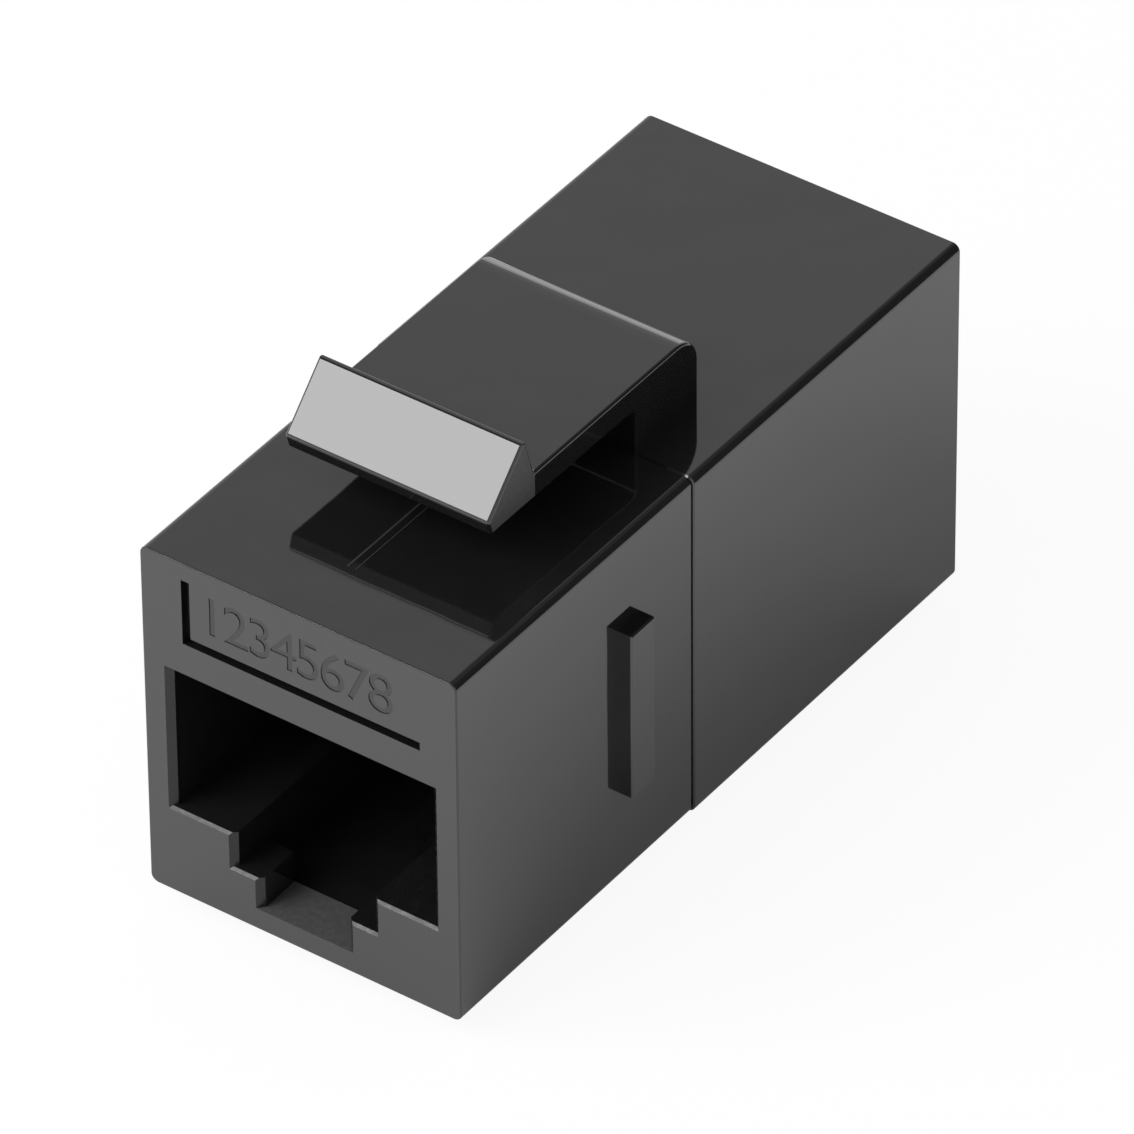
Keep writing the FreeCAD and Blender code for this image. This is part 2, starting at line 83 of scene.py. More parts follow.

# The mould's duller finishes, two with painted light or shade in their base: grain, darkest and
# palest base, roughness, gloss
ETCHINGS = {
    "etched_hairlines": (0.1 * MM, 0.02, 0.035, 0.5, 0.55),
    "etched_numbers": (0.06 * MM, 0.008, 0.013, 0.25, 0.7),
    # The sill's paler base is painted light where light falls in through the port's mouth; its
    # roughness is a duller finish
    "etched_sill_painted_light": (0.25 * MM, 0.045, 0.085, 0.5, 0.55),
    # The corner line's darker base is painted shade in its groove; its low gloss is a duller
    # finish
    "etched_line_painted_shade": (0.08 * MM, 0.004, 0.008, 0.4, 0.3),
    "etched_rim": (0.3 * MM, 0.008, 0.012, 0.35, 0.8),
    "etched_mouth": (0.2 * MM, 0.008, 0.012, 0.25, 0.45),
    "etched_lip_sides": (0.2 * MM, 0.025, 0.035, 0.4, 0.55),
}

# Height and advance of a digit in Blender's own font, as shares of the text size
DIGIT_HEIGHT = 0.72
DIGIT_ADVANCE = 0.52

# How finely the round and the bending forms are divided, and where the arm's first step starts
PIT_STEPS = 6
CORNER_STEPS = 12
EDGE_STEPS = 4
JOINT_SIDES = 20
JOINT_RINGS = 6
PAD_SIDES = 28
BEND_STEP = 0.8 * MM
CORNER_LEAD = 0.3 * MM

# The lip's crest is what lies more than this over the top of the arm
CREST_RISE = 1.0 * MM

# The soft box, and the smaller card that stands for it in the gloss. A square lamp is as bright
# as its power over LAMP_POWER times its area
KEY_DIRECTION = Vector((-0.457, -0.624, 0.632)).normalized()
KEY_DISTANCE = 0.4
KEY_SIZE = 0.3
KEY_CARD_SIZE = 0.15
KEY_CARD_SHARE = 1.38
LAMP_POWER = 4.0

# Cards behind the part: bearing from the rear, distance, height, width, tallness, brightness
REAR_CARDS = {
    "white_card": (math.radians(-29), 0.25, 0.052, 0.08, 0.105, 1.5),
    "black_card": (math.radians(45), 0.1, 0.065, 0.12, 0.13, 0.06),
}

# How bright the studio is in the gloss at each height over the horizon, as sine and brightness
STUDIO_WALL = ((0.0, 0.75), (0.37, 0.72), (0.60, 0.63), (0.63, 0.55), (0.70, 0.25),
               (0.77, 0.14), (1.0, 0.14))
FLOOR_SIZE = 6.0

# The camera's sensor in millimetres, and the nearest and furthest that it sees
SENSOR_WIDTH = 36.0
CLIP_START = 0.01
CLIP_END = 20.0


# Settings


class PlasticSettings(bpy.types.PropertyGroup):
    """Finish of the glossy black moulded housings and latch."""

    colour: FloatVectorProperty(
        name="Colour", description="Colour of the black plastic itself, under its gloss",
        subtype="COLOR", size=3, min=0.0, max=1.0, default=(0.0085, 0.0085, 0.0088))
    roughness: FloatProperty(
        name="Roughness", description="Roughness of the polished mould face",
        subtype="FACTOR", min=0.0, max=1.0, default=0.05)
    ripple: FloatProperty(
        name="Ripple", description="Width of the slow waves left by the plastic as it shrank",
        subtype="DISTANCE", unit="LENGTH", min=0.0005, default=3.5 * MM)


class WitnessSettings(bpy.types.PropertyGroup):
    """Two hairlines that a mould insert left along the top of the front housing."""

    width: FloatProperty(
        name="Width", description="Width of a hairline",
        subtype="DISTANCE", unit="LENGTH", min=0.00001, default=0.08 * MM)
    height: FloatProperty(
        name="Height", description="Height of a hairline over the face",
        subtype="DISTANCE", unit="LENGTH", min=0.000001, default=0.01 * MM)
    left: FloatProperty(
        name="Left", description="Distance of the first hairline from the housing's middle",
        subtype="DISTANCE", unit="LENGTH", default=-0.17 * MM)
    right: FloatProperty(
        name="Right", description="Distance of the second hairline from the housing's middle",
        subtype="DISTANCE", unit="LENGTH", default=0.19 * MM)
    start: FloatProperty(
        name="Start", description="Distance from the front face to the hairlines",
        subtype="DISTANCE", unit="LENGTH", default=3.4 * MM)


class NumberSettings(bpy.types.PropertyGroup):
    """Contact numbers engraved over the front port."""

    height: FloatProperty(
        name="Height", description="Height of one number",
        subtype="DISTANCE", unit="LENGTH", min=0.0005, default=1.85 * MM)
    pitch: FloatProperty(
        name="Pitch", description="Distance from one number to the next",
        subtype="DISTANCE", unit="LENGTH", min=0.0005, default=1.15 * MM)
    depth: FloatProperty(
        name="Depth", description="Depth of the engraved strokes",
        subtype="DISTANCE", unit="LENGTH", min=0.00001, default=0.03 * MM)
    shift: FloatProperty(
        name="Shift", description="Distance of the row's middle from the housing's middle",
        subtype="DISTANCE", unit="LENGTH", default=0.14 * MM)
    drop: FloatProperty(
        name="Drop", description="Distance from the top of the housing to the middle of the row",
        subtype="DISTANCE", unit="LENGTH", default=1.95 * MM)


class LatchSettings(bpy.types.PropertyGroup):
    """Form of the sprung latch, moulded in one with its root."""

    proud: FloatProperty(
        name="Proud", description="How far the latch's skin stands over its root block",
        subtype="DISTANCE", unit="LENGTH", default=0.02 * MM)
    lip_back: FloatProperty(
        name="Lip back",
        description="Distance along the arm from the nose to the foot of the lip's back",
        subtype="DISTANCE", unit="LENGTH", default=2.95 * MM)
    crest: FloatProperty(
        name="Crest", description="Width of the flat on top of the lip",
        subtype="DISTANCE", unit="LENGTH", default=0.22 * MM)
    face_run: FloatProperty(
        name="Face run", description="Distance along the arm that the lip's face covers",
        subtype="DISTANCE", unit="LENGTH", default=2.18 * MM)
    nose_drop: FloatProperty(
        name="Nose drop", description="Distance from the top of the arm down to the nose's edge",
        subtype="DISTANCE", unit="LENGTH", default=0.55 * MM)
    nose_run: FloatProperty(
        name="Nose run", description="Distance that the nose leans back under its edge",
        subtype="DISTANCE", unit="LENGTH", default=0.2 * MM)
    root_setback: FloatProperty(
        name="Root setback", description="Distance from the seam to the root's front",
        subtype="DISTANCE", unit="LENGTH", default=0.1 * MM)
    root_length: FloatProperty(
        name="Root length", description="Length of the root block",
        subtype="DISTANCE", unit="LENGTH", default=3.97 * MM)
    root_radius: FloatProperty(
        name="Root radius", description="Radius of the root's upper rear corner",
        subtype="DISTANCE", unit="LENGTH", default=1.3 * MM)
    armpit: FloatProperty(
        name="Armpit", description="Radius where the arm's underside meets the root",
        subtype="DISTANCE", unit="LENGTH", default=0.35 * MM)
    edge: FloatProperty(
        name="Edge", description="Width of the softened edges",
        subtype="DISTANCE", unit="LENGTH", min=0.00001, default=0.16 * MM)
    crest_edge: FloatProperty(
        name="Crest edge", description="Width of the softened edges along the lip's crest",
        subtype="DISTANCE", unit="LENGTH", min=0.00001, default=0.07 * MM)
    bend_start: FloatProperty(
        name="Bend start", description="Distance behind the seam where the arm starts to flex",
        subtype="DISTANCE", unit="LENGTH", default=1.0 * MM)
    bend_length: FloatProperty(
        name="Bend length", description="Length of the stretch that flexes",
        subtype="DISTANCE", unit="LENGTH", default=6.5 * MM)


class JointSettings(bpy.types.PropertyGroup):
    """Solder joints on the contact tails, and the copper pads round their holes."""

    radius: FloatProperty(
        name="Radius", description="Radius of a joint at the board",
        subtype="DISTANCE", unit="LENGTH", min=0.00001, default=0.43 * MM)
    tip: FloatProperty(
        name="Tip", description="Radius of a joint where it ends on the tail",
        subtype="DISTANCE", unit="LENGTH", min=0.00001, default=0.29 * MM)
    height: FloatProperty(
        name="Height", description="Height of a joint over the board",
        subtype="DISTANCE", unit="LENGTH", min=0.00001, default=0.42 * MM)
    dip: FloatProperty(
        name="Dip", description="How far a joint's side curves in between the board and the tail",
        subtype="FACTOR", min=0.0, max=0.9, default=0.22)
    vary: FloatProperty(
        name="Vary", description="How much one joint differs from the next in height",
        subtype="FACTOR", min=0.0, max=0.9, default=0.12)
    pad_radius: FloatProperty(
        name="Pad radius", description="Outer radius of a copper pad",
        subtype="DISTANCE", unit="LENGTH", min=0.00001, default=0.47 * MM)
    hole_radius: FloatProperty(
        name="Hole radius", description="Radius of the hole inside a copper pad",
        subtype="DISTANCE", unit="LENGTH", min=0.00001, default=0.38 * MM)
    pad_thickness: FloatProperty(
        name="Pad thickness", description="Thickness of a copper pad with its tin",
        subtype="DISTANCE", unit="LENGTH", min=0.00001, default=0.04 * MM)
    seed: IntProperty(
        name="Seed", description="Picks one fixed set of differences between the joints",
        min=0, default=7)


class StageSettings(bpy.types.PropertyGroup):
    """Floor, light and camera."""

    floor_colour: FloatVectorProperty(
        name="Floor colour", description="Colour of the pale floor",
        subtype="COLOR", size=3, min=0.0, max=1.0, default=(0.9, 0.9, 0.9))
    floor_glow: FloatProperty(
        name="Floor glow", description="Share of plain white in the floor as the camera sees it",
        subtype="FACTOR", min=0.0, max=1.0, default=0.92)
    gloss_glow: FloatProperty(
        name="Gloss glow", description="Share of plain white in the floor as the gloss mirrors it",
        subtype="FACTOR", min=0.0, max=1.0, default=0.0)
    sky: FloatProperty(
        name="Sky", description="Brightness of the soft light from all around",
        min=0.0, default=0.6)
    key: FloatProperty(
        name="Key", description="Brightness of the soft box at the front left",
        min=0.0, default=4.4)
    distance: FloatProperty(
        name="Distance", description="Distance from the part to the camera",
        subtype="DISTANCE", unit="LENGTH", default=481.9 * MM)
    azimuth: FloatProperty(
        name="Azimuth", description="Direction of the camera round the part",
        subtype="ANGLE", unit="ROTATION", default=math.radians(35.84))
    elevation: FloatProperty(
        name="Elevation", description="Height of the camera over the horizon",
        subtype="ANGLE", unit="ROTATION", default=math.radians(38.65))
    roll: FloatProperty(
        name="Roll", description="Turn of the camera about its own line of sight",
        subtype="ANGLE", unit="ROTATION", default=math.radians(-0.49))
    lens: FloatProperty(
        name="Lens", description="Focal length in millimetres, on a sensor 36 mm wide",
        min=1.0, default=406.9)
    aim: FloatVectorProperty(
        name="Aim", description="The point that the camera looks at",
        subtype="TRANSLATION", unit="LENGTH", size=3, default=(2.84 * MM, -3.25 * MM, 12.2 * MM))


# Node helpers


def combine(tree, operation, first, second=None):
    """A maths node over one or two values, each a number or a socket."""
    node = tree.nodes.new("ShaderNodeMath")
    node.operation = operation
    for index, value in enumerate((first, second)):
        if isinstance(value, (int, float)):
            node.inputs[index].default_value = value
        elif value is not None:
            tree.links.new(value, node.inputs[index])
    return node.outputs["Value"]


def bare_material(name):
    """A new material with nothing in it but its output, whose input comes back with it."""
    material = bpy.data.materials.new(name)
    material.use_nodes = True
    nodes = material.node_tree.nodes
    nodes.clear()
    return material, nodes.new("ShaderNodeOutputMaterial").inputs["Surface"]


# Materials


class Surface:
    """A material with its Principled shader, and short ways to add nodes to it."""

    def __init__(self, name):
        self.material, output = bare_material(name)
        self.tree = self.material.node_tree
        self.shader = self.tree.nodes.new("ShaderNodeBsdfPrincipled")
        self.tree.links.new(self.shader.outputs["BSDF"], output)
        self.place = self.tree.nodes.new("ShaderNodeTexCoord").outputs["Object"]

    def set(self, **values):
        """Set the shader's own sockets, named with _ for a space."""
        for name, value in values.items():
            self.shader.inputs[name.replace("_", " ")].default_value = value

    def noise(self, feature, detail=3.0, stretch=(1.0, 1.0, 1.0)):
        """Smooth noise whose features are about as wide as feature, in metres."""
        mapping = self.tree.nodes.new("ShaderNodeMapping")
        mapping.inputs["Scale"].default_value = stretch
        self.tree.links.new(self.place, mapping.inputs["Vector"])
        node = self.tree.nodes.new("ShaderNodeTexNoise")
        node.inputs["Scale"].default_value = 1.0 / feature
        node.inputs["Detail"].default_value = detail
        self.tree.links.new(mapping.outputs["Vector"], node.inputs["Vector"])
        return node.outputs["Fac"]

    def spread(self, value, low, high):
        """A noise value taken from its usual range, 0.3 to 0.7, to the range low to high."""
        node = self.tree.nodes.new("ShaderNodeMapRange")
        node.inputs["From Min"].default_value = 0.3
        node.inputs["From Max"].default_value = 0.7
        node.inputs["To Min"].default_value = low
        node.inputs["To Max"].default_value = high
        self.tree.links.new(value, node.inputs["Value"])
        return node.outputs["Result"]

    def mix(self, factor, first, second):
        """From the first colour to the second as the factor goes from 0 to 1."""
        node = self.tree.nodes.new("ShaderNodeMix")
        node.data_type = "RGBA"
        node.inputs["A"].default_value = (*first, 1.0)
        node.inputs["B"].default_value = (*second, 1.0)
        self.tree.links.new(factor, node.inputs["Factor"])
        return node.outputs["Result"]

    def bump(self, height, distance, strength):
        """A normal tilted by a height value."""
        node = self.tree.nodes.new("ShaderNodeBump")
        node.inputs["Distance"].default_value = distance
        node.inputs["Strength"].default_value = strength
        self.tree.links.new(height, node.inputs["Height"])
        return node.outputs["Normal"]

    def feed(self, **values):
        """Link values to the shader's sockets, named with _ for a space."""
        for name, value in values.items():
            self.tree.links.new(value, self.shader.inputs[name.replace("_", " ")])


def shade(colour, share):
    """A colour made darker or paler by a share of itself."""
    return tuple(min(1.0, part * share) for part in colour)


def moulded_black(name, settings):
    """Polished black plastic: near black inside, with a clear hard gloss and faint slow waves."""
    surface = Surface(name)
    surface.set(IOR=1.5, Specular_IOR_Level=1.0)
    mottle = surface.noise(settings.ripple / 3, detail=4.0)
    colour = tuple(settings.colour)
    surface.feed(Base_Color=surface.mix(mottle, shade(colour, 0.8), shade(colour, 1.2)))
    rough = settings.roughness
    surface.feed(Roughness=surface.spread(mottle, rough * 0.9, rough * 1.1))
    waves = surface.noise(settings.ripple, detail=1.0)
    surface.feed(Normal=surface.bump(waves, settings.ripple, 0.005))
    return surface.material


def etched_black(name):
    """Spark-etched mould face, duller than the polished faces round it. On the sill its paler base
    is painted light, and in the corner line its darker base is painted shade.
    """
    grain, dark, pale, roughness, gloss = ETCHINGS[name]
    surface = Surface(name)
    surface.set(IOR=1.5, Specular_IOR_Level=gloss)
    pits = surface.noise(grain, detail=4.0)
    surface.feed(Base_Color=surface.mix(pits, (dark, dark, dark), (pale, pale, pale)))
    surface.feed(Roughness=surface.spread(pits, roughness * 0.8, roughness * 1.2))
    surface.feed(Normal=surface.bump(pits, grain / 2, 0.15))
    return surface.material


def carrier_black(name):
    """Dull black glass-filled plastic of the inner carriers."""
    surface = Surface(name)
    surface.set(IOR=1.5, Specular_IOR_Level=0.5)
    mottle = surface.noise(0.6 * MM)
    surface.feed(Base_Color=surface.mix(mottle, (0.010, 0.010, 0.011), (0.016, 0.016, 0.017)))
    surface.feed(Roughness=surface.spread(mottle, 0.42, 0.55))
    fibres = surface.noise(0.12 * MM, detail=2.0, stretch=(1.0, 0.25, 1.0))
    surface.feed(Normal=surface.bump(fibres, 0.12 * MM, 0.1))
    return surface.material


def gold_plate(name):
    """Gold plate over a stamped strip, a little duller along the rolling direction."""
    surface = Surface(name)
    surface.set(Metallic=1.0)
    patches = surface.noise(0.5 * MM)
    surface.feed(Base_Color=surface.mix(patches, (0.83, 0.58, 0.22), (0.93, 0.70, 0.31)))
    surface.feed(Roughness=surface.spread(patches, 0.2, 0.32))
    rolling = surface.noise(0.05 * MM, detail=2.0, stretch=(1.0, 0.08, 1.0))
    surface.feed(Normal=surface.bump(rolling, 0.05 * MM, 0.06))
    return surface.material


def board_green(name):
    """Solder mask over woven glass laminate."""
    surface = Surface(name)
    surface.set(IOR=1.5, Specular_IOR_Level=0.6, Coat_Weight=0.5, Coat_Roughness=0.18)
    patches = surface.noise(1.5 * MM)
    surface.feed(Base_Color=surface.mix(patches, (0.006, 0.075, 0.022), (0.009, 0.105, 0.034)))
    surface.feed(Roughness=surface.spread(patches, 0.3, 0.4))
    weave = surface.noise(0.45 * MM, detail=1.0, stretch=(1.0, 1.0, 2.2))
    surface.feed(Normal=surface.bump(weave, 0.2 * MM, 0.08))
    return surface.material


def solder_bright(name):
    """Tin solder as it set, bright with duller patches."""
    surface = Surface(name)
    surface.set(Metallic=1.0)
    skin = surface.noise(0.2 * MM)
    surface.feed(Base_Color=surface.mix(skin, (0.60, 0.61, 0.62), (0.74, 0.74, 0.74)))
    surface.feed(Roughness=surface.spread(skin, 0.22, 0.4))
    surface.feed(Normal=surface.bump(skin, 0.05 * MM, 0.15))
    return surface.material


def pale_floor(name, settings):
    """A matt pale floor that looks white to the eye and keeps the part's shadow."""
    material, output = bare_material(name)
    tree = material.node_tree
    matt = tree.nodes.new("ShaderNodeBsdfDiffuse")
    matt.inputs["Color"].default_value = (*settings.floor_colour, 1.0)
    white = tree.nodes.new("ShaderNodeEmission")
    path = tree.nodes.new("ShaderNodeLightPath")
    seen = combine(tree, "MAXIMUM", path.outputs["Is Camera Ray"],
                   path.outputs["Is Transmission Ray"])
    seen = combine(tree, "MULTIPLY", seen, settings.floor_glow)
    gloss = combine(tree, "MULTIPLY", path.outputs["Is Glossy Ray"], settings.gloss_glow)
    mix = tree.nodes.new("ShaderNodeMixShader")
    tree.links.new(combine(tree, "MAXIMUM", seen, gloss), mix.inputs["Fac"])
    tree.links.new(matt.outputs["BSDF"], mix.inputs[1])
    tree.links.new(white.outputs["Emission"], mix.inputs[2])
    tree.links.new(mix.outputs["Shader"], output)
    return material


# Mesh helpers


def new_piece(name, mesh, material):
    """An object of one material at the origin."""
    mesh.materials.clear()
    mesh.materials.append(material)
    piece = bpy.data.objects.new(name, mesh)
    bpy.context.scene.collection.objects.link(piece)
    return piece


def flat_sheet(name, width, length):
    """The mesh of one level face round the origin."""
    mesh = bpy.data.meshes.new(name)
    x, y = width / 2, length / 2
    mesh.from_pydata([(-x, -y, 0.0), (x, -y, 0.0), (x, y, 0.0), (-x, y, 0.0)], [], [(0, 1, 2, 3)])
    return mesh


def prism(name, outline, half_width, material, middle=0.0):
    """A solid of one side view, as wide as asked both ways from its middle."""
    shape = bmesh.new()
    loop = [shape.verts.new((middle - half_width, y, z)) for y, z in outline]
    side = shape.faces.new(loop)
    shape.normal_update()
    if side.normal.x > 0:
        side.normal_flip()
    swept = bmesh.ops.extrude_face_region(shape, geom=[side])
    moved = [item for item in swept["geom"] if isinstance(item, bmesh.types.BMVert)]
    bmesh.ops.translate(shape, verts=moved, vec=(2 * half_width, 0.0, 0.0))
    if side not in shape.faces[:]:
        shape.faces.new(loop)
    bmesh.ops.recalc_face_normals(shape, faces=shape.faces)
    mesh = bpy.data.meshes.new(name)
    shape.to_mesh(mesh)
    shape.free()
    return new_piece(name, mesh, material)


def merged_copy(name, node, material):
    """A copy of a CAD node's mesh as one closed skin, ready to be worked on."""
    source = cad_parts[node].data
    skin = bmesh.new()
    skin.from_mesh(source)
    bmesh.ops.remove_doubles(skin, verts=skin.verts, dist=WELD)
    mesh = bpy.data.meshes.new(name)
    skin.to_mesh(mesh)
    skin.free()
    piece = new_piece(name, mesh, material)
    join_flats(piece)
    return piece


def join_flats(piece, angle=math.radians(0.3)):
    """Join the triangles of each flat into one face, so that the flats shade evenly."""
    skin = bmesh.new()
    skin.from_mesh(piece.data)
    bmesh.ops.dissolve_limit(skin, angle_limit=angle, verts=skin.verts, edges=skin.edges,
                             delimit={"MATERIAL"})
    skin.to_mesh(piece.data)
    skin.free()


def settle(piece):
    """Turn a piece's modifiers into its plain mesh."""
    graph = bpy.context.evaluated_depsgraph_get()
    mesh = bpy.data.meshes.new_from_object(piece.evaluated_get(graph), depsgraph=graph)
    piece.modifiers.clear()
    old = piece.data
    piece.data = mesh
    mesh.name = piece.name
    bpy.data.meshes.remove(old)


def merge_solid(shell, solid, operation):
    """Join a solid to a shell or cut it out, with the solid's own material on the new faces."""
    merge = shell.modifiers.new(operation, "BOOLEAN")
    merge.operation = operation
    merge.solver = "EXACT"
    merge.object = solid
    merge.material_mode = "TRANSFER"
    settle(shell)
    bpy.data.objects.remove(solid)


def split_across(piece, y):
    """Cut the faces of a piece in two where they pass a plane across it."""
    skin = bmesh.new()
    skin.from_mesh(piece.data)
    everything = skin.verts[:] + skin.edges[:] + skin.faces[:]
    bmesh.ops.bisect_plane(skin, geom=everything, dist=0.0001 * MM,
                           plane_co=(0.0, y, 0.0), plane_no=(0.0, 1.0, 0.0))
    skin.to_mesh(piece.data)
    skin.free()


def smooth_fan(corner):
    """The faces that shade into a corner's own face round its vertex, as their numbers."""
    fan = {corner.face.index}
    for forward in (True, False):
        here = corner
        while True:
            step = here if forward else here.link_loop_prev
            if not step.edge.smooth or not step.edge.is_manifold:
                break
            across = step.link_loop_radial_next
            here = across.link_loop_next if forward else across
            if here.face.index in fan:
                break
            fan.add(here.face.index)
    return fan


def shade_smooth(piece, sharp_angle=math.radians(32)):
    """Smooth the rounded edges and keep the flats flat, by normals weighted with area."""
    mesh = piece.data
    old = mesh.attributes.get("custom_normal")
    if old is not None:
        mesh.attributes.remove(old)
    for face in mesh.polygons:
        face.use_smooth = True
    mesh.set_sharp_from_angle(angle=sharp_angle)
    skin = bmesh.new()
    skin.from_mesh(mesh)
    skin.faces.ensure_lookup_table()
    weights = [face.normal * face.calc_area() for face in skin.faces]
    normals = [None] * len(mesh.loops)
    for face in skin.faces:
        for corner, place in zip(face.loops, mesh.polygons[face.index].loop_indices):
            total = sum((weights[index] for index in smooth_fan(corner)), Vector())
            normals[place] = total.normalized()
    skin.free()
    mesh.normals_split_custom_set(normals)


def paint_faces(shell, material, wanted):
    """Give a material to the faces of a shell that pass a test."""
    shell.data.materials.append(material)
    slot = len(shell.data.materials) - 1
    for face in shell.data.polygons:
        if wanted(face):
            face.material_index = slot


def paint_node(name, material):
    """Give a CAD node its material."""
    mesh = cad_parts[name].data
    mesh.materials.clear()
    mesh.materials.append(material)


def node_modifier(piece, tree, **values):
    """Give a piece a node tree, with the values of its named inputs."""
    modifier = piece.modifiers.new(tree.name, "NODES")
    modifier.node_group = tree
    for item in tree.interface.items_tree:
        if item.item_type == "SOCKET" and item.in_out == "INPUT" and item.name in values:
            modifier[item.identifier] = values[item.name]


# Engraved numbers


def number_tree():
    """Node tree that makes a row of numbers as solids, as deep as asked."""
    tree = bpy.data.node_groups.new("engraved_numbers", "GeometryNodeTree")
    face = tree.interface
    for name, kind in (("Text", "NodeSocketString"), ("Height", "NodeSocketFloat"),
                       ("Depth", "NodeSocketFloat"), ("Spacing", "NodeSocketFloat"),
                       ("Material", "NodeSocketMaterial")):
        face.new_socket(name, in_out="INPUT", socket_type=kind)
    face.new_socket("Geometry", in_out="OUTPUT", socket_type="NodeSocketGeometry")
    nodes, links = tree.nodes, tree.links
    start = nodes.new("NodeGroupInput")
    end = nodes.new("NodeGroupOutput")
    text = nodes.new("GeometryNodeStringToCurves")
    text.align_x = "CENTER"
    text.align_y = "MIDDLE"
    links.new(start.outputs["Text"], text.inputs["String"])
    links.new(start.outputs["Height"], text.inputs["Size"])
    links.new(start.outputs["Spacing"], text.inputs["Character Spacing"])
    flat = nodes.new("GeometryNodeRealizeInstances")
    links.new(text.outputs["Curve Instances"], flat.inputs["Geometry"])
    fill = nodes.new("GeometryNodeFillCurve")
    links.new(flat.outputs["Geometry"], fill.inputs["Curve"])
    lift = nodes.new("GeometryNodeExtrudeMesh")
    lift.inputs["Individual"].default_value = False
    links.new(fill.outputs["Mesh"], lift.inputs["Mesh"])
    links.new(start.outputs["Depth"], lift.inputs["Offset Scale"])
    turn = nodes.new("GeometryNodeFlipFaces")
    links.new(fill.outputs["Mesh"], turn.inputs["Mesh"])
    join = nodes.new("GeometryNodeJoinGeometry")
    links.new(lift.outputs["Mesh"], join.inputs["Geometry"])
    links.new(turn.outputs["Mesh"], join.inputs["Geometry"])
    merge = nodes.new("GeometryNodeMergeByDistance")
    merge.inputs["Distance"].default_value = WELD
    links.new(join.outputs["Geometry"], merge.inputs["Geometry"])
    real = nodes.new("GeometryNodeRealizeInstances")
    links.new(merge.outputs["Geometry"], real.inputs["Geometry"])
    paint = nodes.new("GeometryNodeSetMaterial")
    links.new(real.outputs["Geometry"], paint.inputs["Geometry"])
    links.new(start.outputs["Material"], paint.inputs["Material"])
    links.new(paint.outputs["Geometry"], end.inputs["Geometry"])
    return tree


def number_cutters(settings, material):
    """The contact numbers as solids that reach into the front face."""
    cutters = new_piece("number_cutters", bpy.data.meshes.new("number_cutters"), material)
    digits = "".join(str(pin) for pin in range(1, PINS + 1))
    size = settings.height / DIGIT_HEIGHT
    node_modifier(cutters, number_tree(), Text=digits, Height=size, Depth=2 * settings.depth,
                  Spacing=settings.pitch / (size * DIGIT_ADVANCE), Material=material)
    settle(cutters)
    across = [vertex.co.x for vertex in cutters.data.vertices]
    up = [vertex.co.y for vertex in cutters.data.vertices]
    stand = Matrix.Rotation(math.radians(90), 4, "X")
    place = Vector((settings.shift, FACE_Y + settings.depth, BODY_TOP - settings.drop))
    centre = Matrix.Translation((-(min(across) + max(across)) / 2, -(min(up) + max(up)) / 2, 0.0))
    cutters.data.transform(Matrix.Translation(place) @ stand @ centre)
    return cutters


# Operators


class PieceOperator:
    """What all the operators share: they never ask for input and can be undone."""

    bl_options = {"REGISTER", "UNDO"}


def on_sill(face):
    """The floor of the port's notch, as deep as the face wall is thick; its paler base is painted
    light falling in through the mouth, over a rougher finish.
    """
    level = abs(face.center.z - SILL_HEIGHT) < TOUCH
    return level and face.normal.z > 0.99 and face.center.y < FACE_Y + SILL_REACH


def in_face_line(face):
    """The floor and the walls of the corner line over the port, whose darker base is painted shade
    in the groove.
    """
    depth = face.center.y - FACE_Y
    drop = BODY_TOP - face.center.z
    return (LINE_DEPTHS[0] < depth < LINE_DEPTHS[1]) and (LINE_DROPS[0] < drop < LINE_DROPS[1])


def on_mouth_side(face):
    """The slanted sides of the port's mouth and of its steps."""
    slanted = face.normal.y < -0.6 and abs(face.normal.x) > 0.6
    return slanted and abs(face.center.x) < MOUTH_HALF_WIDTH


def on_rim(face):
    """The small rounding round the front face."""
    return face.center.y - FACE_Y < RIM_WIDTH and face.normal.y > -0.98


def hairline(settings, place, width, material):
    """One hairline as a solid that reaches a little into the top of the housing."""
    start, end = FACE_Y + settings.start, SEAM_Y - SINK
    low, high = BODY_TOP - settings.height, BODY_TOP + settings.height
    side = [(start, low), (end, low), (end, high), (start, high)]
    return prism("hairline", side, width / 2, material, place)


class COUPLER_OT_front_shell(PieceOperator, bpy.types.Operator):
    """Front housing with the contact numbers engraved over its port"""

    bl_idname = "coupler.front_shell"
    bl_label = "Front shell"

    def execute(self, context):
        material = moulded_black("front_shell_black", context.scene.coupler_plastic)
        shell = merged_copy("front_shell", "front_housing", material)
        lines = etched_black("etched_hairlines")
        witness = context.scene.coupler_witness
        for place, width in ((witness.left, witness.width), (witness.right, witness.width / 2)):
            merge_solid(shell, hairline(witness, place, width, lines), "UNION")
        strokes = etched_black("etched_numbers")
        merge_solid(shell, number_cutters(context.scene.coupler_numbers, strokes), "DIFFERENCE")
        join_flats(shell)
        # The sill's paler base is painted light and the corner line's darker base is painted
        # shade; the rim and mouth are duller finishes
        for finish, wanted in (("etched_sill_painted_light", on_sill), ("etched_line_painted_shade", in_face_line),
                               ("etched_rim", on_rim), ("etched_mouth", on_mouth_side)):
            paint_faces(shell, etched_black(finish), wanted)
        shade_smooth(shell)
        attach(shell, "housing")
        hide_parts("front_housing")
        return {"FINISHED"}


class COUPLER_OT_rear_shell(PieceOperator, bpy.types.Operator):
    """Rear housing, with the block that carries the latch"""

    bl_idname = "coupler.rear_shell"
    bl_label = "Rear shell"

    def execute(self, context):
        material = moulded_black("rear_shell_black", context.scene.coupler_plastic)
        shell = merged_copy("rear_shell", "rear_housing", material)
        shade_smooth(shell)
        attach(shell, "housing")
        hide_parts("rear_housing")
        return {"FINISHED"}


